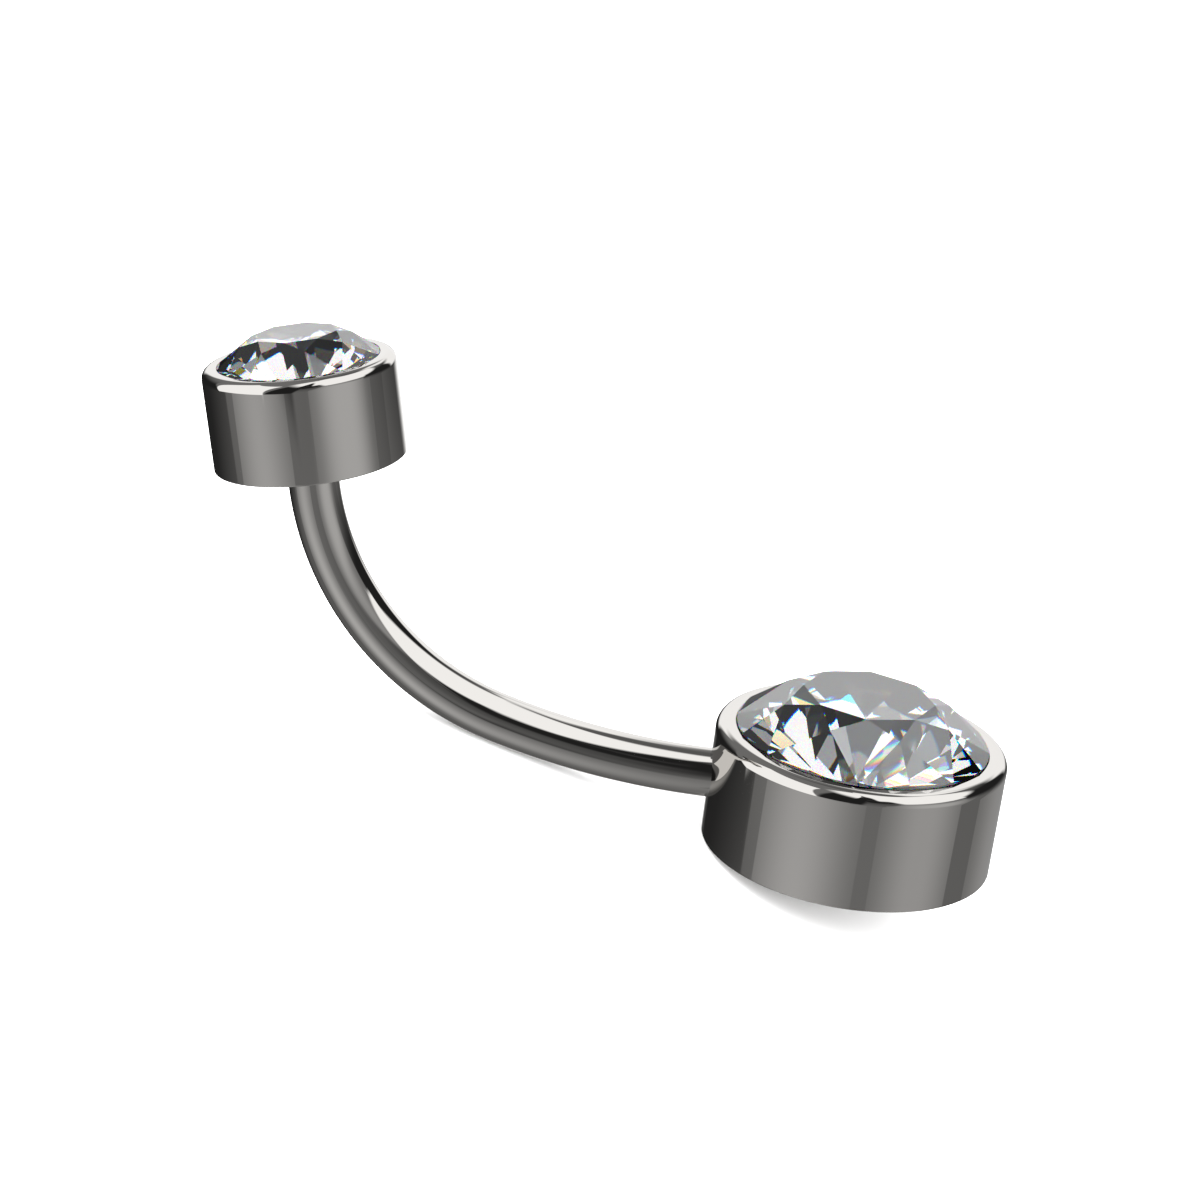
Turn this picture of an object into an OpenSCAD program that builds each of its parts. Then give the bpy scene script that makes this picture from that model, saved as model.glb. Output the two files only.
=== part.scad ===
/*
Belly button ring: a curved bar with a large stone at one end and a small stone at the other.
The bar is soldered into the side of the large round cup. The small cup screws onto its other
end. Each cup holds a round brilliant. Everything is built with the large cup's flat back at
z = 0 and the bar leaving its side wall along -X. at_rest() then tips it onto the edge of that
back and the outside of the bar's bend, the way the ring comes to rest on a table. z = 0 is the
table there, and x = 0 is the middle of the ring's length.
*/

/* [Bar] */
// Thickness of the bar, in mm
bar_d = 1.6; // [1.2:0.1:1.8]
// Height of the bar's middle line above the large cup's back
bar_height = 1.95; // [1.6:0.05:2.2]
// Bend radius next to the large cup
near_bend_r = 25; // [20:1:32]
// Bend radius next to the small cup
far_bend_r = 9.3; // [8:0.1:10.5]
// How far the bar turns in each of the two bends, in degrees
near_turn = 16; // [10:0.5:20]
far_turn = 62.5; // [55:0.5:68]
// Straight end that takes the small cup's post
straight_end = 0.8; // [0.6:0.1:1.4]

/* [Cups] */
// Outside width and height of the large cup
large_cup_d = 9.4; // [9.2:0.1:10]
large_cup_h = 3.88; // [3.8:0.01:4.2]
// Outside width and height of the small cup
small_cup_d = 6; // [5.8:0.1:6.4]
small_cup_h = 3.2; // [3:0.05:3.6]
// Rounding of each cup's outer rim
large_rim_r = 0.35; // [0.2:0.05:0.4]
small_rim_r = 0.3; // [0.15:0.05:0.35]

/* [Post] */
// Width of the small cup's hidden post
post_d = 0.9; // [0.7:0.1:1]
// Length of the post
post_l = 1.8; // [1.2:0.1:1.9]

/* [Stones] */
// Width of the large stone
large_stone_d = 8.1; // [7.8:0.1:8.1]
// Width of the small stone
small_stone_d = 5; // [4.6:0.1:5]
// Width of the table, as a share of the stone's width
table_share = 0.52; // [0.5:0.01:0.62]
// Slope of the crown's main facets, in degrees
crown_angle = 34; // [32:0.5:38]
// Slope of the pavilion's main facets, in degrees
pavilion_angle = 40.5; // [38:0.5:41]
// Turn of each stone in its cup, in degrees
large_stone_turn = -5; // [-22:1:22]
small_stone_turn = -5; // [-22:1:22]

/* [Hidden] */
$fn = 96;

// Distance kept between a stone and the wall of its cup, and between the post and its bore
gap = 0.03;
// Slit between the bar's end and the small cup
joint_gap = 0.02;
// Height of a stone's girdle band, and how far its top stands above the rim
girdle_t = 0.1;
large_girdle_rise = 0.04;
small_girdle_rise = -0.03;
// Share of the way from table to girdle that the star facets take
star_share = 0.42;
// Share of the way from girdle to culet that the lower girdle facets take
lower_share = 0.65;
// Extra room between a pavilion and its pocket, under the girdle and around the culet
pocket_room = 0.13;
culet_room = 0.08;
culet_room_r = 0.3;
// Turn by which the bar's root goes on into the large cup's wall, in degrees
root_turn = 1;
// How much finer the straight end is turned, and how far it reaches back into the bend
end_step = 0.02;
end_overlap = 0.3;
// Room left past the post's tip in the bar's bore, and the post's root inside its cup
bore_room = 0.2;
post_root = 0.2;

steel = [0.42, 0.41, 0.41];
clear = [0.9, 0.93, 0.96];

large_stone_z = large_cup_h + large_girdle_rise;
small_stone_z = small_cup_h + small_girdle_rise;

large_cup_r = large_cup_d / 2;
small_cup_r = small_cup_d / 2;
// Turn of the bar's free end from the plane of the large cup's back
end_turn = near_turn + far_turn;
// Place where the two bends meet, centre of the far bend, and the bar's free end
middle_x = -large_cup_r - near_bend_r * sin(near_turn);
middle_z = bar_height + near_bend_r * (1 - cos(near_turn));
far_x = middle_x + far_bend_r * sin(near_turn);
far_z = middle_z + far_bend_r * cos(near_turn);
end_x = far_x - far_bend_r * sin(end_turn) - straight_end * cos(end_turn);
end_z = far_z - far_bend_r * cos(end_turn) + straight_end * sin(end_turn);

// Tilt at which the near bend or the far bend touches the table along with the back's edge
near_tilt = acos((near_bend_r + bar_d / 2) / (near_bend_r + bar_height));
far_reach = asin((far_bend_r + bar_d / 2) / norm([far_x + large_cup_r, far_z]));
far_tilt = 180 - far_reach - atan2(far_z, far_x + large_cup_r);
rest_tilt = near_tilt < near_turn ? near_tilt : far_tilt;

// Lowest and highest x of the tipped ring: the small cup's rim and the large cup's back
rest_turn = end_turn - rest_tilt;
rim_up = joint_gap + small_cup_h - small_rim_r;
rim_out = small_cup_r - small_rim_r;
end_rest_x = end_x * cos(rest_tilt) - end_z * sin(rest_tilt);
min_x = end_rest_x - rim_up * cos(rest_turn) - rim_out * sin(rest_turn) - small_rim_r;
max_x = large_cup_r * cos(rest_tilt);

// Radius to the girdle's corners, before the girdle is turned round
function corner_r(r) = r / cos(11.25);
// Depth of the pavilion below the girdle band
function pavilion_h(r) = corner_r(r) * tan(pavilion_angle);
function around(r, angle, z) = [r * cos(angle), r * sin(angle), z];

// Brilliant with its girdle's top at z = 0 and its table facing up
module brilliant(r) {
    rc = corner_r(r);
    table_r = table_share * r;
    crown_h = (rc - table_r) * tan(crown_angle);
    flat_r = table_r * cos(22.5);
    star_r = flat_r + star_share * (r - flat_r);
    star_z = (rc - star_r * cos(22.5)) * tan(crown_angle);
    lower_r = (1 - lower_share) * r;
    culet_z = -girdle_t - pavilion_h(r);
    lower_z = culet_z + lower_r * cos(22.5) * tan(pavilion_angle);
    points = concat(
        [for (k = [0:7]) around(table_r, 45 * k, crown_h)],
        [for (k = [0:7]) around(star_r, 45 * k + 22.5, star_z)],
        [for (k = [0:15]) around(rc, 22.5 * k, 0)],
        [for (k = [0:15]) around(rc, 22.5 * k, -girdle_t)],
        [for (k = [0:7]) around(lower_r, 45 * k + 22.5, lower_z)],
        [[0, 0, culet_z]]
    );
    star = 8;
    upper = 16;
    lower = 32;
    pavilion = 48;
    culet = 56;
    faces = concat(
        [[for (k = [7:-1:0]) k]],
        [for (k = [0:7]) [k, (k + 1) % 8, star + k]],
        [for (k = [0:7]) [k, star + k, upper + 2 * k, star + (k + 7) % 8]],
        [for (k = [0:7]) [star + k, upper + 2 * k + 1, upper + 2 * k]],
        [for (k = [0:7]) [star + k, upper + (2 * k + 2) % 16, upper + 2 * k + 1]],
        [for (k = [0:15]) [upper + k, upper + (k + 1) % 16, lower + (k + 1) % 16, lower + k]],
        [for (k = [0:7]) [lower + 2 * k, lower + 2 * k + 1, pavilion + k]],
        [for (k = [0:7]) [lower + 2 * k + 1, lower + (2 * k + 2) % 16, pavilion + k]],
        [for (k = [0:7]) [culet, pavilion + (k + 7) % 8, lower + 2 * k, pavilion + k]]
    );
    intersection() {
        polyhedron(points = points, faces = faces, convexity = 2);
        translate([0, 0, culet_z - 1]) cylinder(r = r, h = crown_h - culet_z + 2);
    }
}

// Outside of a cup, with its rim rounded
module cup_body(r, h, rim_r) {
    rotate_extrude() {
        square([r, h - rim_r]);
        square([r - rim_r, h]);
        translate([r - rim_r, h - rim_r]) intersection() {
            circle(r = rim_r);
            square(rim_r);
        }
    }
}

// Room for a stone: a cone for the pavilion and a round mouth for the girdle
module pocket(r, h, stone_z) {
    mouth_r = r + gap;
    culet_z = stone_z - girdle_t - pavilion_h(r);
    rotate_extrude() polygon([
        [0, culet_z - culet_room],
        [culet_room_r, culet_z - culet_room],
        [mouth_r, stone_z - girdle_t - pocket_room],
        [mouth_r, h + 1],
        [0, h + 1]
    ]);
}

module cup(r, h, rim_r, stone_r, stone_z) {
    difference() {
        cup_body(r, h, rim_r);
        pocket(stone_r, h, stone_z);
    }
}

// Moves its children to the end of a bend that starts along -X and turns towards +Z
module after_bend(r, turn) {
    translate([0, 0, r]) rotate([0, turn, 0]) translate([0, 0, -r]) children();
}

// One bend of the bar, from the origin
module bend(r, turn) {
    translate([0, 0, r]) rotate([-90, 90, 0]) rotate_extrude(angle = turn) {
        translate([r, 0]) circle(d = bar_d);
    }
}

// Places its children where the two bends meet
module at_middle() {
    translate([-large_cup_r, 0, bar_height]) after_bend(near_bend_r, near_turn) children();
}

// Places its children at the bar's free end, with +Z along the bar and out of it
module at_bar_end() {
    at_middle() after_bend(far_bend_r, far_turn) {
        rotate([0, -90, 0]) translate([0, 0, straight_end]) children();
    }
}

// Both bends start at the same flat face in the middle, so that they join without a seam
module bar() {
    difference() {
        union() {
            at_middle() {
                mirror([1, 0, 0]) bend(near_bend_r, near_turn + root_turn);
                bend(far_bend_r, far_turn);
            }
            at_bar_end() translate([0, 0, -straight_end - end_overlap]) {
                cylinder(d = bar_d - end_step, h = straight_end + end_overlap);
            }
        }
        at_bar_end() translate([0, 0, -post_l - bore_room]) {
            cylinder(d = post_d + 2 * gap, h = post_l + bore_room + 1);
        }
    }
}

// Tips the ring into its resting place on the table
module at_rest() {
    translate([-(min_x + max_x) / 2, 0, large_cup_r * sin(rest_tilt)]) {
        rotate([0, -rest_tilt, 0]) children();
    }
}

module bar_and_large_cup() {
    color(steel) at_rest() {
        bar();
        cup(large_cup_r, large_cup_h, large_rim_r, large_stone_d / 2, large_stone_z);
    }
}

module small_cup() {
    color(steel) at_rest() at_bar_end() translate([0, 0, joint_gap]) {
        cup(small_cup_r, small_cup_h, small_rim_r, small_stone_d / 2, small_stone_z);
        translate([0, 0, -post_l - joint_gap]) {
            cylinder(d = post_d, h = post_l + joint_gap + post_root);
        }
    }
}

module large_stone() {
    color(clear) at_rest() translate([0, 0, large_stone_z]) {
        rotate(large_stone_turn) brilliant(large_stone_d / 2);
    }
}

module small_stone() {
    color(clear) at_rest() at_bar_end() translate([0, 0, joint_gap + small_stone_z]) {
        rotate(small_stone_turn) brilliant(small_stone_d / 2);
    }
}

bar_and_large_cup();
small_cup();
large_stone();
small_stone();
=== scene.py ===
"""Belly button ring: a curved bar between a large and a small round cup, each with a clear brilliant.

The ring is drawn in its own frame, in millimetres: the large cup stands on the origin with its flat
back at z = 0, and the bar leaves its wall along -X. RingPlan.at_rest tips it onto the table and
turns millimetres into metres.
"""

import logging
from dataclasses import dataclass
from enum import Enum
from math import acos, asin, atan2, cos, degrees, hypot, radians, sin, tan

import bmesh
import bpy
from mathutils import Matrix, Vector


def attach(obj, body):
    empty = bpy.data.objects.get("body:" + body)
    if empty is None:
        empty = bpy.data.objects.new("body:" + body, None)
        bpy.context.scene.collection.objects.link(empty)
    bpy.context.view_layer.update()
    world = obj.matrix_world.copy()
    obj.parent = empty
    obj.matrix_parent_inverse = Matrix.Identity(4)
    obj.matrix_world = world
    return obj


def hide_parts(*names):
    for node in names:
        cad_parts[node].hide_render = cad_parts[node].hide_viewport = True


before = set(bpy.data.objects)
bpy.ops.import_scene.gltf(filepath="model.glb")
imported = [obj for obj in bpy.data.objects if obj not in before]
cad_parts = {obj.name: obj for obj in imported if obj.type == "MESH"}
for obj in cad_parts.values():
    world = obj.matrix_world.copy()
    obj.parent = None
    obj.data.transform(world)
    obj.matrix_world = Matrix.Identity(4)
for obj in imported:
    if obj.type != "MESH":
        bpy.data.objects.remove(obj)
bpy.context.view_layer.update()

log = logging.getLogger("ring")

Edges = list[bmesh.types.BMEdge]

MM = 0.001
BODY = "root"

# How close two points of a mesh are to count as one, in millimetres
SAME_POINT = 1e-5

# Brightness of the studio's white and black cards
WHITE = 1.4
BLACK = 0.02


class Slot(Enum):
    """The record's material slots."""

    METAL = "polished_steel"
    STONE = "clear_stone"


class Node(Enum):
    """The CAD nodes of the ring."""

    BAR_AND_LARGE_CUP = "bar_and_large_cup"
    SMALL_CUP = "small_cup"
    LARGE_STONE = "large_stone"
    SMALL_STONE = "small_stone"


# Sizes and places


@dataclass(frozen=True)
class CupSizes:
    """Sizes of one round cup, in millimetres.

    girdle_drop is how far the top of the stone's girdle lies below the rim.
    """

    radius: float
    height: float
    stone_radius: float
    rim_rounding: float
    girdle_drop: float

    girdle_band: float = 0.1
    side_gap: float = 0.005
    pocket_room: float = 0.13
    culet_room: float = 0.08
    culet_radius: float = 0.3
    pavilion_slope: float = radians(40.5)

    @property
    def mouth_radius(self) -> float:
        """Radius of the opening that the stone sits in."""
        return self.stone_radius + self.side_gap

    @property
    def pocket_top(self) -> float:
        """Height at which the straight mouth turns into the pocket's cone."""
        return self.height - self.girdle_drop - self.girdle_band - self.pocket_room

    @property
    def pocket_floor(self) -> float:
        """Height of the pocket's small flat floor, under the stone's point."""
        corner_radius = self.stone_radius / cos(radians(11.25))
        point = self.height - self.girdle_drop - self.girdle_band
        point -= corner_radius * tan(self.pavilion_slope)
        return point - self.culet_room


@dataclass(frozen=True)
class RingPlan:
    """Sizes of the bar and both cups, and the places that follow from them, in millimetres."""

    bar_radius: float = 0.8
    bar_height: float = 1.95
    near_bend_radius: float = 25.0
    near_turn: float = radians(16)
    far_bend_radius: float = 9.3
    far_turn: float = radians(62.5)
    straight_end: float = 0.8
    root_turn: float = radians(1)

    joint_gap: float = 0.02
    post_radius: float = 0.45
    post_length: float = 1.8
    post_gap: float = 0.03
    bore_room: float = 0.2

    large: CupSizes = CupSizes(
        radius=4.7, height=3.88, stone_radius=4.05, rim_rounding=0.35, girdle_drop=-0.04
    )
    small: CupSizes = CupSizes(
        radius=3.0, height=3.2, stone_radius=2.5, rim_rounding=0.3, girdle_drop=0.03
    )

    @property
    def near_centre(self) -> Vector:
        """Centre of the bend next to the large cup."""
        return Vector((-self.large.radius, 0, self.bar_height + self.near_bend_radius))

    @property
    def middle(self) -> Vector:
        """Point on the bar's middle line where the two bends meet."""
        swing = Vector((-sin(self.near_turn), 0, -cos(self.near_turn)))
        return self.near_centre + self.near_bend_radius * swing

    @property
    def far_centre(self) -> Vector:
        """Centre of the bend next to the small cup."""
        swing = Vector((sin(self.near_turn), 0, cos(self.near_turn)))
        return self.middle + self.far_bend_radius * swing

    @property
    def end_turn(self) -> float:
        """Turn of the bar's free end from the plane of the large cup's back."""
        return self.near_turn + self.far_turn

    @property
    def end_direction(self) -> Vector:
        """Direction of the bar's middle line where it leaves the free end."""
        return Vector((-cos(self.end_turn), 0, sin(self.end_turn)))

    @property
    def bar_end(self) -> Vector:
        """Middle of the bar's free end."""
        swing = Vector((-sin(self.end_turn), 0, -cos(self.end_turn)))
        bend_end = self.far_centre + self.far_bend_radius * swing
        return bend_end + self.straight_end * self.end_direction

    @property
    def rest_tilt(self) -> float:
        """Tilt at which the back's edge and the outside of a bend both touch the table."""
        reach = self.near_bend_radius + self.bar_radius
        near_tilt = acos(reach / (self.near_bend_radius + self.bar_height))
        if near_tilt < self.near_turn:
            return near_tilt
        out = self.far_centre.x + self.large.radius
        up = self.far_centre.z
        touch = asin((self.far_bend_radius + self.bar_radius) / hypot(out, up))
        return radians(180) - touch - atan2(up, out)

    @property
    def at_rest(self) -> Matrix:
        """Transform from the ring's own frame in millimetres to the table in metres."""
        tilt = self.rest_tilt
        tip = Matrix.Rotation(-tilt, 4, "Y")
        end_x = (tip @ self.bar_end).x
        lean = self.end_turn - tilt
        rounding = self.small.rim_rounding
        rim_up = self.joint_gap + self.small.height - rounding
        rim_out = self.small.radius - rounding
        low_x = end_x - rim_up * cos(lean) - rim_out * sin(lean) - rounding
        high_x = self.large.radius * cos(tilt)
        shift = Vector((-(low_x + high_x) / 2, 0, self.large.radius * sin(tilt)))
        return Matrix.Scale(MM, 4) @ Matrix.Translation(shift) @ tip

    @property
    def on_bar_end(self) -> Matrix:
        """Transform that stands a piece drawn along +Z on the bar's free end."""
        lean = self.end_turn - radians(90)
        return Matrix.Translation(self.bar_end) @ Matrix.Rotation(lean, 4, "Y")


# Finishes


class NodeSketch:
    """A node tree with short calls for adding and joining nodes."""

    def __init__(self, tree: bpy.types.NodeTree) -> None:
        """Empties the tree.

        Args:
            tree: The node tree of a material or a world.
        """
        self.tree = tree
        tree.nodes.clear()

    def add(self, kind: str, inputs: dict | None = None, **settings: object) -> bpy.types.Node:
        """Adds one node.

        Args:
            kind: The node's type name, without its ShaderNode prefix.
            inputs: Value or output socket for each input, by name or number.
            **settings: The node's own settings.

        Returns:
            The new node.
        """
        node = self.tree.nodes.new("ShaderNode" + kind)
        for name, value in settings.items():
            setattr(node, name, value)
        for name, value in (inputs or {}).items():
            if isinstance(value, bpy.types.NodeSocket):
                self.tree.links.new(value, node.inputs[name])
            else:
                node.inputs[name].default_value = value
        return node

    def maths(self, operation: str, *values: object) -> bpy.types.NodeSocket:
        """Adds a Math node.

        Args:
            operation: The Math node's operation.
            *values: Its inputs, as numbers or output sockets.

        Returns:
            The node's output.
        """
        node = self.add("Math", dict(enumerate(values)), operation=operation)
        return node.outputs[0]


@dataclass(frozen=True)
class PolishedSteel:
    """Dark mirror-polished steel with the faint haze that polishing leaves."""

    name: str = "dark_polished_steel"
    colour: tuple[float, float, float] = (0.62, 0.604, 0.582)
    edge_tint: float = 0.85
    roughness: tuple[float, float] = (0.012, 0.032)
    haze_scale: float = 420.0
    haze_detail: float = 3.0
    haze_span: tuple[float, float] = (0.3, 0.7)

    def build(self) -> bpy.types.Material:
        """Makes the material.

        Returns:
            The new material.
        """
        material = bpy.data.materials.new(self.name)
        material.use_nodes = True
        sketch = NodeSketch(material.node_tree)
        place = sketch.add("TexCoord").outputs["Object"]
        haze = sketch.add(
            "TexNoise",
            {"Vector": place, "Scale": self.haze_scale, "Detail": self.haze_detail, "Roughness": 0.6},
        )
        rough = sketch.add(
            "MapRange",
            {
                "Value": haze.outputs["Fac"],
                "From Min": self.haze_span[0],
                "From Max": self.haze_span[1],
                "To Min": self.roughness[0],
                "To Max": self.roughness[1],
            },
        )
        shader = sketch.add(
            "BsdfPrincipled",
            {
                "Base Color": (*self.colour, 1),
                "Metallic": 1.0,
                "Roughness": rough.outputs["Result"],
                "Specular Tint": (*[self.edge_tint] * 3, 1),
            },
        )
        sketch.add("OutputMaterial", {"Surface": shader.outputs[0]})
        return material


@dataclass(frozen=True)
class ClearStone:
    """Clear cut stone, which bends blue light more than red and so throws coloured glints.

    A ray from the camera meets three glasses with equal shares, one for each of red, green and blue
    and three times as strong in it. Every other ray meets one plain glass.
    """

    name: str = "clear_brilliant"
    clearness: float = 0.995
    iors: tuple[float, float, float] = (2.42, 2.45, 2.485)

    def build(self) -> bpy.types.Material:
        """Makes the material.

        Returns:
            The new material.
        """
        material = bpy.data.materials.new(self.name)
        material.use_nodes = True
        sketch = NodeSketch(material.node_tree)
        red_ior, green_ior, blue_ior = self.iors
        red = self.glass(sketch, red_ior, (3, 0, 0))
        green = self.glass(sketch, green_ior, (0, 3, 0))
        two = sketch.add("MixShader", {0: 1 / 2, 1: red, 2: green})
        blue = self.glass(sketch, blue_ior, (0, 0, 3))
        entering = sketch.add("MixShader", {0: 1 / 3, 1: two.outputs[0], 2: blue}).outputs[0]
        within = self.glass(sketch, green_ior, (1, 1, 1))
        deep = sketch.maths("GREATER_THAN", sketch.add("LightPath").outputs["Ray Depth"], 0.5)
        whole = sketch.add("MixShader", {0: deep, 1: entering, 2: within})
        sketch.add("OutputMaterial", {"Surface": whole.outputs[0]})
        return material

    def glass(self, sketch: NodeSketch, ior: float, tint: tuple[int, int, int]) -> bpy.types.NodeSocket:
        """Adds a glass shader.

        Args:
            sketch: The material's node tree.
            ior: How strongly the glass bends light.
            tint: How strong it is in red, green and blue light.

        Returns:
            The shader's output.
        """
        colour = [self.clearness * strength for strength in tint]
        node = sketch.add("BsdfGlass", {"Color": (*colour, 1), "Roughness": 0.0, "IOR": ior})
        return node.outputs[0]


# Pieces


def add_piece(
    name: str,
    shape: bmesh.types.BMesh,
    place: Matrix,
    finish: bpy.types.Material,
    stands_for: Node,
) -> bpy.types.Object:
    """Turns a finished shape into a piece of the ring.

    Args:
        name: The piece's name.
        shape: The mesh in the ring's own frame, which is freed.
        place: Transform onto the table.
        finish: The piece's material.
        stands_for: The CAD node that the piece replaces.

    Returns:
        The new object, at the origin, with its place in its mesh.
    """
    bmesh.ops.transform(shape, matrix=place, verts=shape.verts)
    bmesh.ops.recalc_face_normals(shape, faces=shape.faces)
    mesh = bpy.data.meshes.new(name)
    shape.to_mesh(mesh)
    shape.free()
    mesh.materials.append(finish)
    piece = bpy.data.objects.new(name, mesh)
    bpy.context.scene.collection.objects.link(piece)
    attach(piece, BODY)
    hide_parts(stands_for.value)
    log.info("%s: %d faces", name, len(mesh.polygons))
    return piece


@dataclass(frozen=True)
class RoundCup:
    """A turned metal cup, with an optional post under it. The breaks are its small bevels."""

    sizes: CupSizes
    name: str
    node: Node
    post_radius: float = 0.0
    post_depth: float = 0.0

    steps: int = 192
    rim_segments: int = 12
    mouth_break: float = 0.04
    mouth_segments: int = 4
    back_break: float = 0.03
    back_segments: int = 3
    flat_strip: float = 0.02

    def outline(self) -> list[Vector]:
        """Half of the cup's section, from the bottom of its axis to the pocket's floor.

        Returns:
            Points in the XZ plane.
        """
        s = self.sizes
        strip = self.flat_strip
        rim_in = s.rim_rounding + strip
        points = []
        if self.post_radius:
            points += [(0, -self.post_depth), (self.post_radius, -self.post_depth), (self.post_radius, 0)]
        else:
            points += [(0, 0)]
        points += [
            (s.radius - self.back_break - strip, 0),
            (s.radius, 0),
            (s.radius, self.back_break + strip),
            (s.radius, s.height - rim_in),
            (s.radius, s.height),
            (s.radius - rim_in, s.height),
            (s.mouth_radius + self.mouth_break + strip, s.height),
            (s.mouth_radius, s.height),
            (s.mouth_radius, s.pocket_top),
            (s.culet_radius, s.pocket_floor),
            (0, s.pocket_floor),
        ]
        return [Vector((x, 0, z)) for x, z in points]

    def ring_edges(self, shape: bmesh.types.BMesh, radius: float, height: float) -> Edges:
        """Finds the ring of edges at one radius and height.

        Args:
            shape: The spun cup.
            radius: Radius of the ring.
            height: Height of the ring.

        Returns:
            The ring's edges.
        """
        def on_ring(vertex: bmesh.types.BMVert) -> bool:
            """Whether a vertex lies on the ring."""
            out = hypot(vertex.co.x, vertex.co.y)
            return hypot(out - radius, vertex.co.z - height) < 10 * SAME_POINT

        return [e for e in shape.edges if all(on_ring(v) for v in e.verts)]

    def shape(self) -> bmesh.types.BMesh:
        """Spins the section and rounds its edges.

        Returns:
            The cup's mesh, standing on the origin along +Z.
        """
        s = self.sizes
        cup = bmesh.new()
        points = [cup.verts.new(p) for p in self.outline()]
        lines = [cup.edges.new(pair) for pair in zip(points, points[1:])]
        bmesh.ops.spin(
            cup,
            geom=points + lines,
            cent=(0, 0, 0),
            axis=(0, 0, 1),
            angle=radians(360),
            steps=self.steps,
            use_merge=True,
        )
        bmesh.ops.remove_doubles(cup, verts=cup.verts, dist=SAME_POINT)
        bmesh.ops.recalc_face_normals(cup, faces=cup.faces)
        for radius, height, size, segments in (
            (s.radius, s.height, s.rim_rounding, self.rim_segments),
            (s.mouth_radius, s.height, self.mouth_break, self.mouth_segments),
            (s.radius, 0.0, self.back_break, self.back_segments),
        ):
            bmesh.ops.bevel(
                cup,
                geom=self.ring_edges(cup, radius, height),
                offset=size,
                offset_type="OFFSET",
                segments=segments,
                profile=0.5,
                affect="EDGES",
                clamp_overlap=False,
                material=-1,
            )
        for face in cup.faces:
            face.smooth = True
        return cup

    def build(self, place: Matrix, finish: bpy.types.Material) -> bpy.types.Object:
        """Makes the cup as a piece of the ring.

        Args:
            place: Transform onto the table.
            finish: The cup's material.

        Returns:
            The new object.
        """
        return add_piece(self.name, self.shape(), place, finish, self.node)


@dataclass(frozen=True)
class CurvedBar:
    """The bar: two bends, a straight end, and the bore for the small cup's post."""

    plan: RingPlan
    name: str = "bar"
    around: int = 96
    near_steps: int = 48
    far_steps: int = 96
    end_break: float = 0.03
    flat_end: float = 0.999

    def spin_end(
        self, bar: bmesh.types.BMesh, rim: Edges, centre: Vector, turn: float, steps: int
    ) -> Edges:
        """Carries an open end of the tube round a bend.

        Args:
            bar: The bar's mesh.
            rim: The open end's edges.
            centre: Centre of the bend.
            turn: Angle of the bend, positive towards the small cup.
            steps: Number of steps.

        Returns:
            The edges of the new open end.
        """
        verts = list({v for e in rim for v in e.verts})
        made = bmesh.ops.spin(
            bar,
            geom=verts + rim,
            cent=centre,
            axis=(0, 1, 0),
            angle=turn,
            steps=steps,
        )
        return [g for g in made["geom_last"] if isinstance(g, bmesh.types.BMEdge)]

    def push_end(self, bar: bmesh.types.BMesh, rim: Edges, length: float, size: float) -> Edges:
        """Carries the tube's open end straight on.

        Args:
            bar: The bar's mesh.
            rim: The open end's edges.
            length: How far the end goes on.
            size: Width of the new end, as a share of the old one.

        Returns:
            The edges of the new open end.
        """
        made = bmesh.ops.extrude_edge_only(bar, edges=rim)["geom"]
        verts = [g for g in made if isinstance(g, bmesh.types.BMVert)]
        bmesh.ops.translate(bar, verts=verts, vec=length * self.plan.end_direction)
        middle = sum((v.co for v in verts), Vector()) / len(verts)
        shrink = Matrix.Scale(size, 4)
        bmesh.ops.transform(bar, matrix=shrink, space=Matrix.Translation(-middle), verts=verts)
        return [g for g in made if isinstance(g, bmesh.types.BMEdge) and all(v in verts for v in g.verts)]

    def shape(self) -> bmesh.types.BMesh:
        """Builds the bar from the circle where its two bends meet.

        Returns:
            The bar's mesh in the ring's own frame.
        """
        p = self.plan
        bar = bmesh.new()
        across = Matrix.Rotation(radians(90) + p.near_turn, 4, "Y")
        bmesh.ops.create_circle(
            bar,
            radius=p.bar_radius,
            segments=self.around,
            matrix=Matrix.Translation(p.middle) @ across,
        )
        start = list(bar.edges)
        root_turn = p.near_turn + p.root_turn
        root = self.spin_end(bar, start, p.near_centre, -root_turn, self.near_steps)
        end = self.spin_end(bar, start, p.far_centre, p.far_turn, self.far_steps)
        tip = self.push_end(bar, end, p.straight_end - 2 * self.end_break, 1.0)
        tip = self.push_end(bar, tip, self.end_break, 1.0)
        tip = self.push_end(bar, tip, self.end_break, 1 - self.end_break / p.bar_radius)
        bmesh.ops.contextual_create(bar, geom=root)
        cap = bmesh.ops.contextual_create(bar, geom=tip)["faces"]
        bmesh.ops.inset_region(
            bar,
            faces=cap,
            thickness=p.bar_radius - self.end_break - p.post_radius - p.post_gap,
            use_even_offset=True,
        )
        floor = bmesh.ops.extrude_discrete_faces(bar, faces=cap)["faces"]
        depth = p.post_length + p.bore_room
        bmesh.ops.translate(
            bar, verts=list({v for f in floor for v in f.verts}), vec=-depth * p.end_direction
        )
        bar.normal_update()
        for face in bar.faces:
            along = abs(face.normal.dot(p.end_direction))
            face.smooth = len(face.verts) == 4 and along < self.flat_end
        return bar

    def build(self, place: Matrix, finish: bpy.types.Material) -> bpy.types.Object:
        """Makes the bar as a piece of the ring.

        Args:
            place: Transform onto the table.
            finish: The bar's material.

        Returns:
            The new object.
        """
        return add_piece(self.name, self.shape(), place, finish, Node.BAR_AND_LARGE_CUP)


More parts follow.
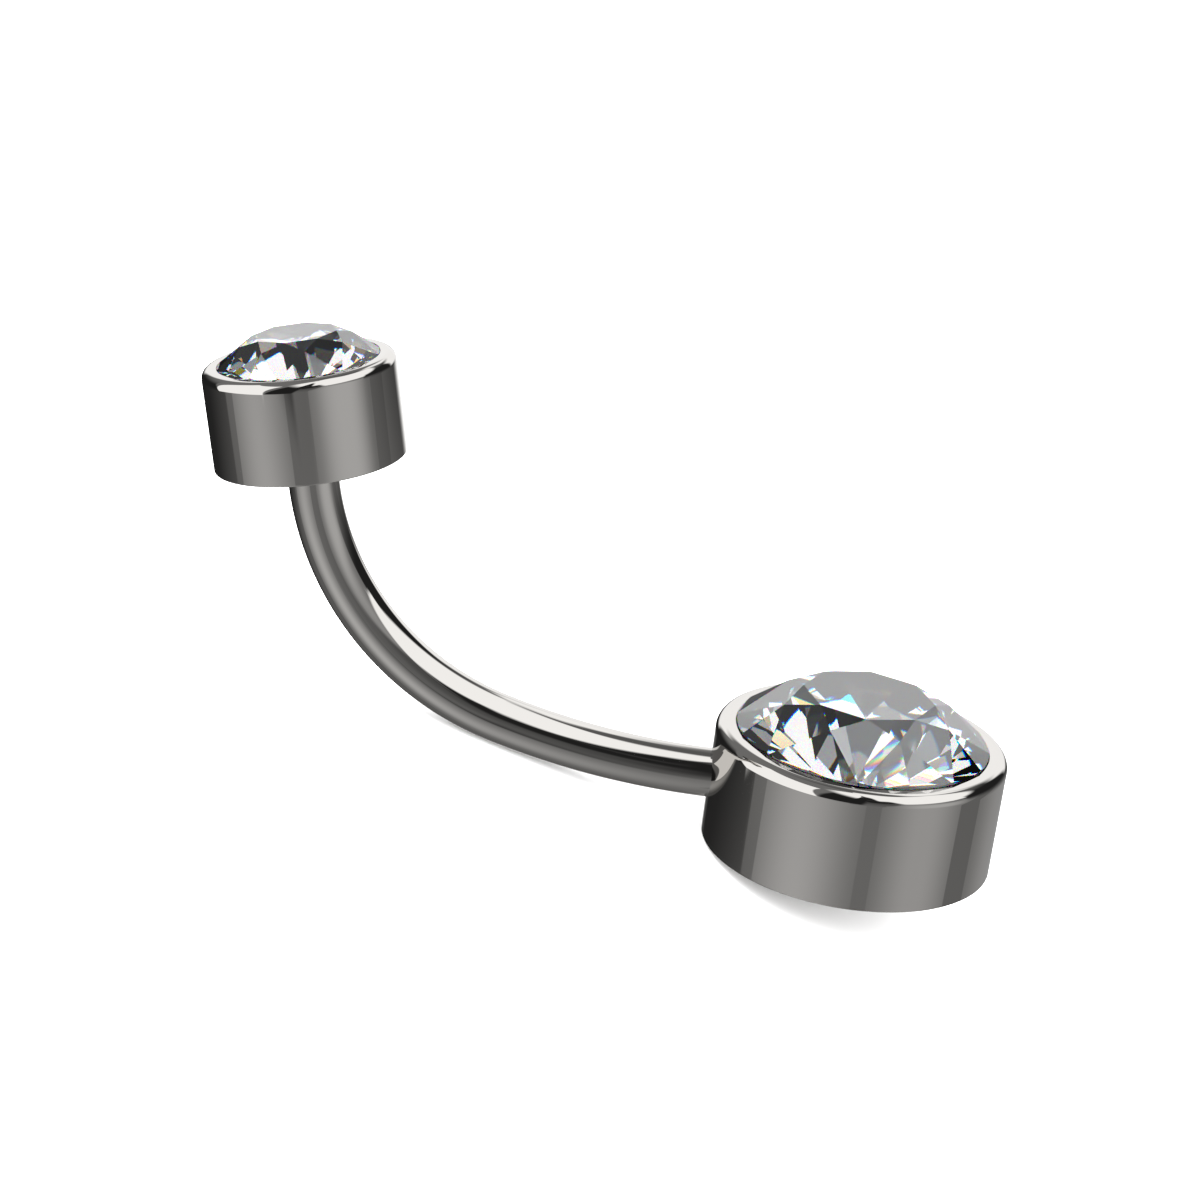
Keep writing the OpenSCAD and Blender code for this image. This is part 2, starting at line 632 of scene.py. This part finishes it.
@dataclass(frozen=True)
class Brilliant:
    """A cut stone, which keeps its CAD shape."""

    node: Node

    def dress(self, finish: bpy.types.Material) -> bpy.types.Object:
        """Gives the stone its finish.

        Args:
            finish: The stone's material.

        Returns:
            The stone's object.
        """
        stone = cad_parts[self.node.value]
        stone.data.materials.clear()
        stone.data.materials.append(finish)
        log.info("%s: %d facets", self.node.value, len(stone.data.polygons))
        return stone


# Studio


@dataclass(frozen=True)
class Card:
    """A soft-edged card far away in the studio, white or black, placed by direction in degrees.

    Azimuth 0 is towards the camera's side of the ring and 90 is +X. Elevation is above the plane of
    the large cup's back. lean shifts the sides as they rise, and slope lifts the top and bottom
    edges towards higher azimuth.
    """

    name: str
    azimuth: tuple[float, float]
    elevation: tuple[float, float]
    glow: float
    side_edge: float
    end_edge: float
    lean: float = 0.0
    slope: float = 0.0


@dataclass(frozen=True)
class Studio:
    """Light tent with white and black cards, and the pale table.

    The cards stand square to the large cup's back, as in the photograph, and not to the table.
    """

    tip: float
    tent_glow: float = 0.225
    fill: float = 4.2
    table_size: float = 8.0
    table_colour: tuple[float, float, float] = (0.8, 0.8, 0.8)
    cards: tuple[Card, ...] = (
        Card("left pool", (-65, -10), (-65, -15), 0.6, 55, 50, lean=-0.3),
        Card("right pool", (30, 77), (-70, 20), 0.45, 40, 25, slope=-0.3),
        Card("right glow", (40, 79), (-16, 8), 0.57, 32, 10),
        Card("back pool", (120, 180), (-75, -15), 0.4, 40, 20),
        Card("front seam", (5, 17), (-60, -12), 0.2, 1, 15),
        Card("front gap", (-8, 19), (-17, -5), 0.19, 1, 5, slope=0.3),
        Card("right seam", (87, 109), (-45, 3), 0.17, 1, 5, lean=0.55),
        Card("left shade", (-180, -88), (-80, -20), 0.15, 1, 45, lean=0.4),
        Card("left foot", (-180, -90), (-30, -18), 0.0, 1, 45, slope=0.2),
        Card("backdrop", (162, 184), (-45, 12), WHITE, 15, 30, lean=-0.3, slope=0.3),
        Card("front grey", (2, 30), (-3, 29), 0.1, 8, 35, lean=0.5),
        Card("left black", (-170, -101), (-30, 15), BLACK, 5, 30, lean=-0.6, slope=0.2),
        Card("left wall", (-105, -37), (-22, 55), WHITE, 2, 1, lean=-0.1, slope=0.04),
        Card("front black", (-29, 5), (-16, 56), BLACK, 5, 3, lean=0.1, slope=0.1),
        Card("front ceiling", (-46, 9), (55, 107), WHITE, 1, 25, lean=0.3, slope=-0.8),
        Card("right black", (87, 152), (-3, 47), BLACK, 4, 25, slope=-0.3),
        Card("right wall", (11, 84), (22, 98), WHITE, 3, 3, lean=-0.2),
        Card("right slope", (75, 175), (42, 110), WHITE, 3, 8, slope=0.4),
        Card("upper shade", (134, 204), (53, 84), 0.14, 8, 14, lean=-1, slope=0.2),
        Card("front frame", (1, 31), (18, 39), BLACK, 8, 10, lean=-0.4, slope=0.2),
        Card("front strip", (5, 15), (35, 65), BLACK, 5, 15, slope=-0.3),
        Card("back wall", (142, 209), (0, 30), WHITE, 8, 10),
        Card("back strip", (155, 172), (32, 52), WHITE, 10, 7, lean=-0.3, slope=-0.6),
    )

    def build_world(self) -> bpy.types.World:
        """Makes the light tent.

        Returns:
            The world with the tent's node tree.
        """
        world = bpy.data.worlds.new("light_tent")
        world.use_nodes = True
        sketch = NodeSketch(world.node_tree)
        direction = sketch.add("TexCoord").outputs["Generated"]
        upright = sketch.add("Mapping", {"Vector": direction, "Rotation": (0, self.tip, 0)})
        part = sketch.add("SeparateXYZ", {0: upright.outputs[0]}).outputs
        back = sketch.maths("MULTIPLY", part["Y"], -1.0)
        azimuth = sketch.maths("DEGREES", sketch.maths("ARCTAN2", part["X"], back))
        elevation = sketch.maths("DEGREES", sketch.maths("ARCSINE", part["Z"]))
        level: object = self.tent_glow
        for card in self.cards:
            level = self.lay_card(sketch, card, azimuth, elevation, level)
        light = sketch.add("Background", {"Color": (1, 1, 1, 1), "Strength": level})
        plain = sketch.add("Background", {"Color": (1, 1, 1, 1), "Strength": self.fill})
        rays = sketch.add("LightPath").outputs
        even = sketch.maths("MAXIMUM", rays["Is Camera Ray"], rays["Is Diffuse Ray"])
        mixed = sketch.add("MixShader", {0: even, 1: light.outputs[0], 2: plain.outputs[0]})
        sketch.add("OutputWorld", {"Surface": mixed.outputs[0]})
        world.cycles.sampling_method = "NONE"
        bpy.context.scene.world = world
        log.info("light tent: %d cards", len(self.cards))
        return world

    def lay_card(
        self,
        sketch: NodeSketch,
        card: Card,
        azimuth: bpy.types.NodeSocket,
        elevation: bpy.types.NodeSocket,
        below: object,
    ) -> bpy.types.NodeSocket:
        """Lays one card over the light that is there.

        Args:
            sketch: The world's node tree.
            card: The card.
            azimuth: Direction round the table, in degrees.
            elevation: Direction above the table, in degrees.
            below: Brightness of what the card covers.

        Returns:
            The brightness with the card laid over it.
        """
        rise = sketch.maths("SUBTRACT", elevation, sum(card.elevation) / 2)
        side = sketch.maths("SUBTRACT", azimuth, sum(card.azimuth) / 2)
        side = sketch.maths("WRAP", side, 180.0, -180.0)
        from_side = sketch.maths("MULTIPLY_ADD", rise, -card.lean, side)
        from_side = sketch.maths("ABSOLUTE", sketch.maths("WRAP", from_side, 180.0, -180.0))
        from_end = sketch.maths("ABSOLUTE", sketch.maths("MULTIPLY_ADD", side, -card.slope, rise))
        covers = []
        for distance, span, edge in (
            (from_side, card.azimuth, card.side_edge),
            (from_end, card.elevation, card.end_edge),
        ):
            half = (span[1] - span[0]) / 2
            soft = sketch.add(
                "MapRange",
                {
                    "Value": distance,
                    "From Min": half - edge / 2,
                    "From Max": half + edge / 2,
                    "To Min": 1.0,
                    "To Max": 0.0,
                },
                interpolation_type="SMOOTHSTEP",
            )
            covers.append(soft.outputs["Result"])
        cover = sketch.maths("MULTIPLY", *covers)
        mix = sketch.add("Mix", {0: cover, 2: below, 3: card.glow}, data_type="FLOAT", label=card.name)
        return mix.outputs[0]

    def build_table(self) -> bpy.types.Object:
        """Makes the pale table.

        Returns:
            The table's object, which isn't part of the ring.
        """
        shape = bmesh.new()
        bmesh.ops.create_grid(shape, x_segments=1, y_segments=1, size=self.table_size / 2)
        mesh = bpy.data.meshes.new("table")
        shape.to_mesh(mesh)
        shape.free()
        material = bpy.data.materials.new("pale_table")
        material.use_nodes = True
        sketch = NodeSketch(material.node_tree)
        shader = sketch.add("BsdfDiffuse", {"Color": (*self.table_colour, 1)})
        sketch.add("OutputMaterial", {"Surface": shader.outputs[0]})
        mesh.materials.append(material)
        table = bpy.data.objects.new("table", mesh)
        bpy.context.scene.collection.objects.link(table)
        table.visible_glossy = False
        table.visible_transmission = False
        return table


@dataclass(frozen=True)
class Camera:
    """The photograph's camera, in millimetres on the table, with its clip distances in metres."""

    place: tuple[float, float, float] = (-8.2763, -74.0167, 31.6068)
    aim: tuple[float, float, float] = (-0.5129, 0.0, 5.8304)
    roll: float = radians(24.914)
    lens: float = 75.0
    sensor: float = 36.0
    clip: tuple[float, float] = (0.001, 100.0)

    def build(self) -> bpy.types.Object:
        """Makes the camera and gives it to the scene.

        Returns:
            The camera's object.
        """
        data = bpy.data.cameras.new("camera")
        data.lens = self.lens
        data.sensor_width = self.sensor
        data.sensor_fit = "AUTO"
        data.clip_start, data.clip_end = self.clip
        camera = bpy.data.objects.new("camera", data)
        bpy.context.scene.collection.objects.link(camera)
        place = Vector(self.place) * MM
        look = (Vector(self.aim) * MM - place).to_track_quat("-Z", "Y").to_matrix().to_4x4()
        camera.matrix_world = Matrix.Translation(place) @ look @ Matrix.Rotation(self.roll, 4, "Z")
        bpy.context.scene.camera = camera
        return camera


def set_rendering() -> None:
    """Sets the colours and the light paths, which mirrors and clear stones need more of."""
    scene = bpy.context.scene
    scene.view_settings.view_transform = "Standard"
    scene.view_settings.look = "None"
    scene.cycles.max_bounces = 4
    scene.cycles.glossy_bounces = 4
    scene.cycles.transmission_bounces = 4
    scene.cycles.transparent_max_bounces = 8
    scene.cycles.sample_clamp_indirect = 8.0
    scene.cycles.blur_glossy = 0.0


def main() -> None:
    """Builds the ring and its studio in order."""
    logging.basicConfig(level=logging.INFO, format="%(name)s: %(message)s")
    plan = RingPlan()
    log.info("tilt %.3f degrees", degrees(plan.rest_tilt))
    steel = PolishedSteel().build()
    clear = ClearStone().build()

    large_cup = RoundCup(plan.large, "large_cup", Node.BAR_AND_LARGE_CUP)
    large_cup.build(plan.at_rest, steel)
    CurvedBar(plan).build(plan.at_rest, steel)
    small_cup = RoundCup(
        plan.small,
        "small_cup_with_post",
        Node.SMALL_CUP,
        post_radius=plan.post_radius,
        post_depth=plan.post_length + plan.joint_gap,
    )
    lift = Matrix.Translation((0, 0, plan.joint_gap))
    small_cup.build(plan.at_rest @ plan.on_bar_end @ lift, steel)
    Brilliant(Node.LARGE_STONE).dress(clear)
    Brilliant(Node.SMALL_STONE).dress(clear)

    studio = Studio(plan.rest_tilt)
    studio.build_world()
    studio.build_table()
    Camera().build()
    set_rendering()


if __name__ == "__main__":
    main()
